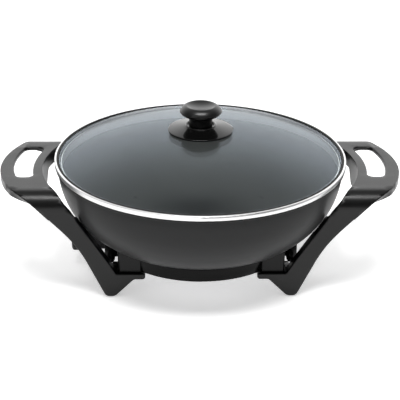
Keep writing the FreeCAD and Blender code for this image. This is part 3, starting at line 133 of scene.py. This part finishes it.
# ---- camera and light ----
CAMERA_AZIMUTH = math.radians(-1.8)
CAMERA_ELEVATION = math.radians(25.06)
CAMERA_DISTANCE = 1.4
CAMERA_ROLL = math.radians(0.65)
CAMERA_TARGET_SIDE = 0.0002
CAMERA_TARGET_UP = 0.0874
CAMERA_LENS = 99.5
SENSOR_WIDTH = 36.0
FLOOR_SIZE = 40.0
FLOOR_GREY = 0.93
FLOOR_GLOW = 0.46               # the table is lit from below too
SKY_FRONT = 0.10                # towards the camera's side
SKY_REAR = 2.3
SKY_REAR_START = 0.0            # where the wall behind begins to brighten, by its direction's Y
SKY_REAR_END = 0.85
SKY_TOP = 0.5
SKY_TOP_START = 0.4             # where the wall turns into the ceiling, by its direction's Z
SKY_TOP_END = 0.95
LAMP_AIM = (0, 0, 0.1)


# ---------------------------------------------------------------- shader nodes

class Value:
    """A shader socket that takes part in Python arithmetic by adding Math nodes."""

    def __init__(self, finish, socket):
        self.finish = finish
        self.socket = socket

    def maths(self, operation, *terms):
        """The result of one Math node on these terms."""
        sockets = {i: term for i, term in enumerate(terms)}
        return self.finish.node("ShaderNodeMath", {"operation": operation}, sockets)

    def __add__(self, other):
        return self.maths("ADD", self, other)

    __radd__ = __add__

    def __mul__(self, other):
        return self.maths("MULTIPLY", self, other)

    __rmul__ = __mul__

    def __sub__(self, other):
        return self.maths("SUBTRACT", self, other)

    def __rsub__(self, other):
        return self.maths("SUBTRACT", other, self)

    def __pow__(self, other):
        return self.maths("POWER", self, other)

    def highest(self, other):
        """The larger of the two."""
        return self.maths("MAXIMUM", self, other)

    def above(self, threshold):
        """1 above the threshold, else 0."""
        return self.maths("GREATER_THAN", self, threshold)


class Finish:
    """One material, built from nodes."""

    def __init__(self, name, owner=None):
        self.owner = owner or bpy.data.materials.new(name)
        self.owner.use_nodes = True
        self.tree = self.owner.node_tree
        self.tree.nodes.clear()

    def node(self, kind, settings=None, sockets=None, output=0):
        """One output of a new node: its settings are made first, then its sockets get values or links."""
        made = self.tree.nodes.new(kind)
        for name, value in (settings or {}).items():
            if name == "stops":
                while len(made.color_ramp.elements) < len(value):
                    made.color_ramp.elements.new(1.0)
                for stop, (place, colour) in zip(made.color_ramp.elements, value):
                    stop.position = place
                    stop.color = colour
            else:
                setattr(made, name, value)
        for name, value in (sockets or {}).items():
            if isinstance(value, Value):
                self.tree.links.new(value.socket, made.inputs[name])
            else:
                made.inputs[name].default_value = value
        return Value(self, made.outputs[output])

    def place(self):
        """Object coordinates."""
        return self.node("ShaderNodeTexCoord", output="Object")

    def split(self, vector):
        """The three numbers of a vector."""
        parts = self.node("ShaderNodeSeparateXYZ", sockets={0: vector})
        outputs = parts.socket.node.outputs
        return [Value(self, outputs[i]) for i in range(3)]

    def noise(self, scale, detail=2.0, roughness=0.5, vector=None):
        """Soft noise between 0 and 1."""
        return self.node("ShaderNodeTexNoise", sockets={
            "Vector": vector or self.place(),
            "Scale": scale,
            "Detail": detail,
            "Roughness": roughness})

    def stretched(self, x, y, z):
        """Object coordinates scaled along each axis."""
        return self.node("ShaderNodeMapping", sockets={"Vector": self.place(), "Scale": (x, y, z)})

    def turned(self):
        """Distance from the wok's upright axis, and height."""
        x, y, z = self.split(self.place())
        return (x * x + y * y) ** 0.5, z

    def between(self, mask, low, high):
        """A value that goes from low to high as the mask goes from 0 to 1."""
        return mask * (high - low) + low

    def rising(self, value, start, end):
        """0 below the start, 1 above the end, smooth between."""
        sockets = {"Value": value, "From Min": start, "From Max": end}
        return self.node("ShaderNodeMapRange", {"interpolation_type": "SMOOTHSTEP"}, sockets)

    def colours(self, mask, low, high):
        """A colour that goes from low to high as the mask goes from 0 to 1."""
        sockets = {0: mask, 6: low, 7: high}
        return self.node("ShaderNodeMix", {"data_type": "RGBA"}, sockets, output=2)

    def greys(self, mask, level, darker, lighter):
        """A grey that goes from a darker to a lighter share of its level as the mask goes from 0 to 1."""
        return self.colours(mask, grey(level * darker), grey(level * lighter))

    def bumps(self, height, distance, strength=1.0):
        """A surface normal from a height, in metres of relief."""
        sockets = {"Height": height, "Distance": distance, "Strength": strength}
        return self.node("ShaderNodeBump", sockets=sockets)

    def solid(self, sockets):
        """Ends the material in one Principled shader."""
        return self.ends_in(self.node("ShaderNodeBsdfPrincipled", sockets=sockets))

    def ends_in(self, shader, kind="ShaderNodeOutputMaterial"):
        """Ends the tree in a shader."""
        output = self.tree.nodes.new(kind)
        self.tree.links.new(shader.socket, output.inputs["Surface"])
        return self.owner


def grey(level, warmth=0.0):
    """An opaque grey, a little warm or cool."""
    return (level * (1 + warmth), level, level * (1 - warmth), 1.0)


def shaded(colour, share):
    """The same opaque colour, darker."""
    return [part * share for part in colour[:3]] + [1.0]


# ---------------------------------------------------------------- finishes

def moulded_plastic(name, level, roughness, grain=MOULD_GRAIN, specular=0.2):
    """Moulded thermoplastic with a fine spark-eroded grain and faint flow clouds."""
    finish = Finish(name)
    clouds = finish.noise(scale=22.0, detail=3.0)
    spark = finish.noise(scale=2600.0, detail=2.0, roughness=0.6)
    polish = finish.noise(scale=60.0, detail=2.0)
    return finish.solid({
        "Base Color": finish.greys(clouds, level, darker=0.88, lighter=1.12),
        "Roughness": finish.between(polish, roughness - 0.04, roughness + 0.04),
        "Specular IOR Level": specular,
        "Normal": finish.bumps(spark, grain)})


def glossy_plastic(name, level, roughness, specular):
    """Polished moulding with a faint waviness."""
    finish = Finish(name)
    waves = finish.noise(scale=35.0, detail=1.0)
    specks = finish.noise(scale=900.0, detail=2.0)
    return finish.solid({
        "Base Color": finish.greys(specks, level, darker=0.9, lighter=1.1),
        "Roughness": finish.between(specks, roughness, roughness + 0.03),
        "Specular IOR Level": specular,
        "Normal": finish.bumps(waves, WAVE_RELIEF, strength=0.4)})


def bowl_coating():
    """Charcoal enamel outside with a fine fleck and a faint peel, and a smooth grey lining inside."""
    finish = Finish("bowl_coating")
    radius, z = finish.turned()
    out = (radius - WALL_CURVE_CENTRE_R).highest(0.0)
    down = (WALL_CURVE_CENTRE_Z - z).highest(0.0)
    from_curve = (out * out + down * down) ** 0.5
    outside = from_curve.above(WALL_CURVE_RADIUS)
    fleck = finish.noise(scale=1400.0, detail=3.0, roughness=0.7)
    clouds = finish.noise(scale=14.0, detail=2.0)
    peel = finish.noise(scale=900.0, detail=2.0)
    shell = finish.colours(fleck, grey(SHELL_DARK, SHELL_WARMTH), grey(SHELL_LIGHT, SHELL_WARMTH))
    lining = finish.colours(clouds, grey(LINING_DARK), grey(LINING_LIGHT))
    roughness = finish.between(outside, LINING_ROUGHNESS, SHELL_ROUGHNESS)
    return finish.solid({
        "Base Color": finish.colours(outside, lining, shell),
        "Roughness": roughness + clouds * COATING_CLOUDING,
        "Specular IOR Level": 0.06,
        "Normal": finish.bumps(peel * outside, PEEL_RELIEF)})


def polished_steel(name, level, roughness):
    """Rolled and polished steel with faint lines along the band."""
    finish = Finish(name)
    radius, z = finish.turned()
    rings = finish.node("ShaderNodeCombineXYZ", sockets={0: radius * ROLLING_LINES, 2: z * ROLLING_LINES})
    lines = finish.noise(scale=90.0, detail=3.0, vector=rings)
    smears = finish.noise(scale=18.0, detail=2.0)
    return finish.solid({
        "Base Color": finish.greys(smears, level, darker=0.96, lighter=1.0),
        "Metallic": 1.0,
        "Roughness": finish.between(lines, roughness - 0.04, roughness + 0.06),
        "Normal": finish.bumps(lines, STEEL_RELIEF)})


def plated_metal(name, colour, roughness):
    """Plain plated or turned metal with fine scratches."""
    finish = Finish(name)
    along = finish.stretched(x=1.0, y=6.0, z=6.0)
    scratches = finish.noise(scale=300.0, detail=4.0, roughness=0.7, vector=along)
    return finish.solid({
        "Base Color": finish.colours(scratches, shaded(colour, 0.85), colour),
        "Metallic": 1.0,
        "Roughness": finish.between(scratches, roughness, roughness + 0.15),
        "Normal": finish.bumps(scratches, STEEL_RELIEF)})


def heated_steel():
    """Element tube, dark with heat tints."""
    finish = Finish("element_steel")
    patches = finish.noise(scale=40.0, detail=4.0, roughness=0.6)
    scale = finish.noise(scale=900.0)
    stops = [(0.3, OXIDE_GREY), (0.55, OXIDE_STRAW), (0.75, OXIDE_PURPLE)]
    return finish.solid({
        "Base Color": finish.node("ShaderNodeValToRGB", {"stops": stops}, {0: patches}),
        "Metallic": 1.0,
        "Roughness": finish.between(patches, 0.4, 0.6),
        "Normal": finish.bumps(scale, SCALE_RELIEF)})


def soft_rubber(name, level, roughness=0.6, specular=0.4):
    """Moulded rubber or silicone with a dull bloom."""
    finish = Finish(name)
    bloom = finish.noise(scale=70.0, detail=3.0)
    pores = finish.noise(scale=1500.0, detail=2.0)
    return finish.solid({
        "Base Color": finish.greys(bloom, level, darker=0.85, lighter=1.2),
        "Roughness": finish.between(bloom, roughness - 0.08, roughness + 0.08),
        "Specular IOR Level": specular,
        "Normal": finish.bumps(pores, PORE_RELIEF)})


def clear_glass():
    """Tempered glass that lets light straight through and mirrors more at grazing angles."""
    finish = Finish("lid_glass")
    facing = finish.node("ShaderNodeLayerWeight", sockets={"Blend": 0.5}, output="Facing")
    slope = facing ** GLASS_SLOPE_POWER * GLASS_SLOPE_MIRROR
    grazing = facing ** GLASS_GRAZING_POWER * GLASS_GRAZING_MIRROR
    radius, _ = finish.turned()
    edge = finish.rising(radius, GLASS_BEVEL_START, GLASS_BEVEL_END)
    mirror = slope + grazing + edge * GLASS_EDGE_MIRROR + GLASS_SQUARE_MIRROR
    wipe = finish.noise(scale=9.0, detail=3.0)
    tint = finish.node("ShaderNodeBsdfTransparent", sockets={"Color": GLASS_TINT})
    shine = finish.node("ShaderNodeBsdfPrincipled", sockets={
        "Base Color": GLASS_SHINE,
        "Metallic": 1.0,
        "Roughness": wipe * GLASS_WIPE_MARKS + GLASS_HAZE})
    mixed = finish.node("ShaderNodeMixShader", sockets={0: mirror, 1: tint, 2: shine})
    return finish.ends_in(mixed)


def clear_red():
    """Red lens over the heating lamp."""
    finish = Finish("lens_plastic")
    prisms = finish.noise(scale=700.0, detail=1.0)
    return finish.solid({
        "Base Color": finish.colours(prisms, LENS_DEEP_RED, LENS_RED),
        "Roughness": finish.between(prisms, 0.08, 0.14),
        "Coat Weight": 0.5,
        "Normal": finish.bumps(prisms, PRISM_RELIEF, strength=0.3)})


def white_print():
    """Pad-printed white ink."""
    finish = Finish("white_print")
    wear = finish.noise(scale=800.0, detail=3.0)
    return finish.solid({
        "Base Color": finish.colours(wear, grey(0.6), grey(0.75)),
        "Roughness": finish.between(wear, 0.45, 0.6)})


finish_of_slot = {
    "bowl_coating": bowl_coating(),
    "base_plastic": glossy_plastic("base_plastic", level=0.002, roughness=0.14, specular=0.1),
    "plate_steel": plated_metal("plate_steel", PRESSED_STEEL, roughness=0.3),
    "screw_steel": plated_metal("screw_steel", STEEL, roughness=0.25),
    "element_steel": heated_steel(),
    "shield_steel": plated_metal("shield_steel", STEEL, roughness=0.2),
    "stud_steel": plated_metal("stud_steel", STEEL, roughness=0.3),
    "spacer_steel": plated_metal("spacer_steel", STEEL, roughness=0.3),
    "nut_steel": plated_metal("nut_steel", STEEL, roughness=0.25),
    "pin_metal": plated_metal("pin_metal", NICKEL, roughness=0.15),
    "well_metal": plated_metal("well_metal", ALUMINIUM, roughness=0.3),
    "guard_plastic": moulded_plastic("guard_plastic", level=0.008, roughness=0.45),
    "controller_plastic": moulded_plastic("controller_plastic", level=0.008, roughness=0.4),
    "nose_plastic": moulded_plastic("nose_plastic", level=0.03, roughness=0.5),
    "contact_brass": plated_metal("contact_brass", BRASS, roughness=0.2),
    "probe_steel": plated_metal("probe_steel", STEEL, roughness=0.18),
    "switch_plastic": moulded_plastic("switch_plastic", level=0.6, roughness=0.5),
    "blade_metal": plated_metal("blade_metal", BRASS, roughness=0.3),
    "spindle_metal": plated_metal("spindle_metal", BRASS, roughness=0.25),
    "dial_plastic": moulded_plastic("dial_plastic", level=0.01, roughness=0.36),
    "lens_plastic": clear_red(),
    "gland_rubber": soft_rubber("gland_rubber", level=0.02),
    "handle_plastic": moulded_plastic("handle_plastic", level=0.003, roughness=0.32, specular=0.3),
    "lid_glass": clear_glass(),
    "band_steel": polished_steel("band_steel", level=0.76, roughness=0.34),
    "seal_rubber": soft_rubber("seal_rubber", level=0.008, roughness=0.5, specular=0.12),
    "skirt_plastic": glossy_plastic("skirt_plastic", level=0.003, roughness=0.08, specular=0.25),
    "knob_plastic": moulded_plastic(
        "knob_plastic", level=0.006, roughness=0.3, grain=0.000012, specular=0.35),
    "insert_brass": plated_metal("insert_brass", BRASS, roughness=0.25),
    "knob_screw_steel": plated_metal("knob_screw_steel", STEEL, roughness=0.2),
    "washer_rubber": soft_rubber("washer_rubber", level=0.25),
    "block_plastic": moulded_plastic("block_plastic", level=0.003, roughness=0.36),
    "pad_rubber": soft_rubber("pad_rubber", level=0.02),
}


# ---------------------------------------------------------------- pieces

def shown(name, mesh, body, slot, material):
    """Puts a finished mesh into the scene on its body."""
    mesh.materials.clear()
    mesh.materials.append(material)
    mesh.shade_smooth()
    mesh.set_sharp_from_angle(angle=CREASE)
    piece = bpy.data.objects.new(name, mesh)
    bpy.context.scene.collection.objects.link(piece)
    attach(piece, body)
    return piece


def dressed(node):
    """A welded, smooth-shaded copy of a CAD node in its finish, which stands for the node."""
    mesh = frame["nodes"][node].data.copy()
    shape = bmesh.new()
    shape.from_mesh(mesh)
    bmesh.ops.remove_doubles(shape, verts=shape.verts, dist=WELD)
    shape.to_mesh(mesh)
    shape.free()
    slot = slot_of[node]
    piece = shown(node + "_part", mesh, body_of[node], slot, finish_of_slot[slot])
    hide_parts(node)


def flat_shape(name, outline, thickness):
    """A thin plate in the XY plane from an outline of (x, y) points, which grows towards +Z."""
    shape = bmesh.new()
    shape.faces.new([shape.verts.new((x, y, 0)) for x, y in outline])
    made = bmesh.ops.extrude_face_region(shape, geom=shape.faces[:])
    lifted = [part for part in made["geom"] if isinstance(part, bmesh.types.BMVert)]
    bmesh.ops.translate(shape, verts=lifted, vec=(0, 0, thickness))
    bmesh.ops.recalc_face_normals(shape, faces=shape.faces)
    mesh = bpy.data.meshes.new(name)
    shape.to_mesh(mesh)
    shape.free()
    return mesh


def numeral_shape(text, height):
    """A numeral as a thin plate in the XY plane, centred on the origin."""
    curve = bpy.data.curves.new("numeral", "FONT")
    curve.body = text
    curve.size = height
    curve.align_x = "CENTER"
    curve.align_y = "CENTER"
    curve.extrude = PRINT_THICK
    holder = bpy.data.objects.new("numeral", curve)
    mesh = bpy.data.meshes.new_from_object(holder)
    bpy.data.objects.remove(holder)
    return mesh


def joined(name, parts):
    """One mesh from (mesh, place) pairs."""
    shape = bmesh.new()
    for mesh, place in parts:
        moved = mesh.copy()
        moved.transform(place)
        shape.from_mesh(moved)
    mesh = bpy.data.meshes.new(name)
    shape.to_mesh(mesh)
    shape.free()
    return mesh


def bar(width, length):
    """Corners of an upright bar about the origin."""
    x, y = width / 2, length / 2
    return [(-x, -y), (x, -y), (x, y), (-x, y)]


def dial_print():
    """Numerals and marks on the dial's face, which looks along -X, clockwise from its top."""
    low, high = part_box("dial")
    centre = Vector((low.x, (low.y + high.y) / 2, (low.z + high.z) / 2))
    facing = Matrix.Translation(centre) @ Matrix(((0, 0, -1), (-1, 0, 0), (0, 1, 0))).to_4x4()
    mark = flat_shape("mark", bar(MARK_WIDTH, MARK_LENGTH), PRINT_THICK)
    parts = []
    steps = 2 * LAST_NUMERAL        # a mark stands at each numeral and half-way between two
    for step in range(steps + 1):
        turn = Matrix.Rotation(-SCALE_TURN * step / steps, 4, "Z")
        parts.append((mark, facing @ turn @ Matrix.Translation((0, MARK_RADIUS, 0))))
        if step % 2 == 0:
            numeral = numeral_shape(str(step // 2), NUMERAL_HEIGHT)
            parts.append((numeral, facing @ turn @ Matrix.Translation((0, NUMERAL_RADIUS, 0))))
    shown("dial_print", joined("dial_print", parts), "dial", "dial_plastic", white)


def pointer_print():
    """White pointer on top of the controller's housing, towards the dial."""
    low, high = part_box("controller_cover")
    place = Matrix.Translation((low.x + POINTER_SETBACK, (low.y + high.y) / 2, high.z))
    tip, back, half = -POINTER_LENGTH / 2, POINTER_LENGTH / 2, POINTER_WIDTH / 2
    arrow = [(tip, 0), (back, -half), (back, half)]
    parts = [(flat_shape("pointer", arrow, PRINT_THICK), place)]
    shown("pointer_print", joined("pointer_print", parts), "controller", "controller_plastic", white)


def seal_lip():
    """Dark lip of the seal, which shows as a line between the glass and the bright band."""
    low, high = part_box("lid_band")
    outer = (high.x - low.x) / 2 - SEAL_LIP_EDGE
    inner = outer - SEAL_LIP_WIDTH
    top = high.z + SEAL_LIP_PROUD
    shoulder = top - SEAL_LIP_ROUND
    foot = high.z - SEAL_LIP_ROUND
    profile = [(inner, foot), (inner, shoulder), (inner + SEAL_LIP_ROUND, top),
               (outer - SEAL_LIP_ROUND, top), (outer, shoulder), (outer, foot)]
    shape = bmesh.new()
    points = [shape.verts.new((radius, 0, z)) for radius, z in profile]
    edges = [shape.edges.new(pair) for pair in zip(points, points[1:] + points[:1])]
    bmesh.ops.spin(shape, geom=edges, cent=(0, 0, 0), axis=(0, 0, 1), angle=math.tau,
                   steps=SEAL_LIP_STEPS, use_merge=True)
    bmesh.ops.remove_doubles(shape, verts=shape.verts, dist=WELD)
    bmesh.ops.recalc_face_normals(shape, faces=shape.faces)
    mesh = bpy.data.meshes.new("seal_lip")
    shape.to_mesh(mesh)
    shape.free()
    shown("seal_lip", mesh, "lid", "seal_rubber", finish_of_slot["seal_rubber"])


def screw_heads(node):
    """Middle of the lowest face and half the width of what a node has in each quarter of the wok.

    That is one screw of a set. The knob's screw stands on the axis and has a part in every quarter.
    """
    quarters = {}
    for vertex in frame["nodes"][node].data.vertices:
        quarters.setdefault((vertex.co.x > 0, vertex.co.y > 0), []).append(vertex.co)
    for points in quarters.values():
        lows = [min(point[axis] for point in points) for axis in range(3)]
        highs = [max(point[axis] for point in points) for axis in range(3)]
        middle = Vector(((lows[0] + highs[0]) / 2, (lows[1] + highs[1]) / 2, lows[2]))
        yield middle, (highs[0] - lows[0]) / 2


def recesses(node):
    """Painted shade in the shape of cross recesses: thin dark plates just under the heads of a node's
    screws, seen from below, that stand in for the shade inside the hollows.
    """
    parts = []
    for place, radius in screw_heads(node):
        reach = radius * RECESS_REACH
        half = radius * RECESS_WIDTH / 2
        arm = [(-half, -reach), (half, -reach), (half, -half)]
        cross = []
        for _ in range(4):
            cross += arm
            arm = [(-y, x) for x, y in arm]
        plate = flat_shape("recess", cross, RECESS_THICK)
        parts.append((plate, Matrix.Translation(place - Vector((0, 0, RECESS_THICK)))))
    name = node + "_recesses"
    shown(name, joined(name, parts), body_of[node], slot_of[node], dark)


white = white_print()
# painted shade: the dark finish of the cross-recess plates under the screw heads
dark = moulded_plastic("recess_shade", level=0.01, roughness=0.5)
for node in slot_of:
    dressed(node)
dial_print()
pointer_print()
seal_lip()
for node in ("base_screws", "handle_screws", "controller_screws", "knob_screw"):
    recesses(node)


# ---------------------------------------------------------------- floor, light and camera

def floor():
    """A wide pale table top."""
    shape = bmesh.new()
    bmesh.ops.create_grid(shape, x_segments=1, y_segments=1, size=FLOOR_SIZE / 2)
    mesh = bpy.data.meshes.new("floor")
    shape.to_mesh(mesh)
    shape.free()
    finish = Finish("floor_white")
    mesh.materials.append(finish.solid({
        "Base Color": grey(FLOOR_GREY),
        "Roughness": 0.9,
        "Specular IOR Level": 0.1,
        "Emission Color": grey(1.0),
        "Emission Strength": FLOOR_GLOW}))
    piece = bpy.data.objects.new("floor", mesh)
    bpy.context.scene.collection.objects.link(piece)


def sky():
    """A studio with a bright wall behind, a dim room in front and a soft ceiling."""
    light = Finish("studio", bpy.data.worlds.new("studio"))
    bpy.context.scene.world = light.owner
    _, y, z = light.split(light.node("ShaderNodeTexCoord", output="Generated"))
    behind = light.rising(y, SKY_REAR_START, SKY_REAR_END)
    walls = light.between(behind, SKY_FRONT, SKY_REAR)
    up = light.rising(z, SKY_TOP_START, SKY_TOP_END)
    level = walls * (1 - up) + up * SKY_TOP
    light.ends_in(light.node("ShaderNodeBackground", sockets={"Strength": level}), "ShaderNodeOutputWorld")


def softbox(name, place, width, height, power):
    """A rectangular lamp with soft shadows that faces the wok."""
    lamp = bpy.data.lights.new(name, "AREA")
    lamp.shape = "RECTANGLE"
    lamp.size = width
    lamp.size_y = height
    lamp.energy = power
    holder = bpy.data.objects.new(name, lamp)
    holder.location = place
    holder.rotation_mode = "QUATERNION"
    holder.rotation_quaternion = (Vector(LAMP_AIM) - Vector(place)).to_track_quat("-Z", "Y")
    bpy.context.scene.collection.objects.link(holder)


def camera():
    """The camera, a little above and square to the front."""
    back = Vector((math.sin(CAMERA_AZIMUTH) * math.cos(CAMERA_ELEVATION),
                   -math.cos(CAMERA_AZIMUTH) * math.cos(CAMERA_ELEVATION),
                   math.sin(CAMERA_ELEVATION)))
    right = Vector((math.cos(CAMERA_AZIMUTH), math.sin(CAMERA_AZIMUTH), 0))
    target = right * CAMERA_TARGET_SIDE + Vector((0, 0, CAMERA_TARGET_UP))
    roll = Matrix.Rotation(CAMERA_ROLL, 3, back)
    right = roll @ right
    up = back.cross(right)
    seen = bpy.data.cameras.new("camera")
    seen.lens = CAMERA_LENS
    seen.sensor_width = SENSOR_WIDTH
    holder = bpy.data.objects.new("camera", seen)
    holder.matrix_world = Matrix.Translation(target + back * CAMERA_DISTANCE) @ Matrix(
        (right, up, back)).transposed().to_4x4()
    bpy.context.scene.collection.objects.link(holder)
    bpy.context.scene.camera = holder


floor()
sky()
softbox("overhead", place=(0.0, -0.52, 1.45), width=0.9, height=0.35, power=20.0)
softbox("front_left", place=(-1.3, -1.5, 1.3), width=0.9, height=0.9, power=3.0)
camera()
bpy.context.scene.view_settings.view_transform = "Standard"
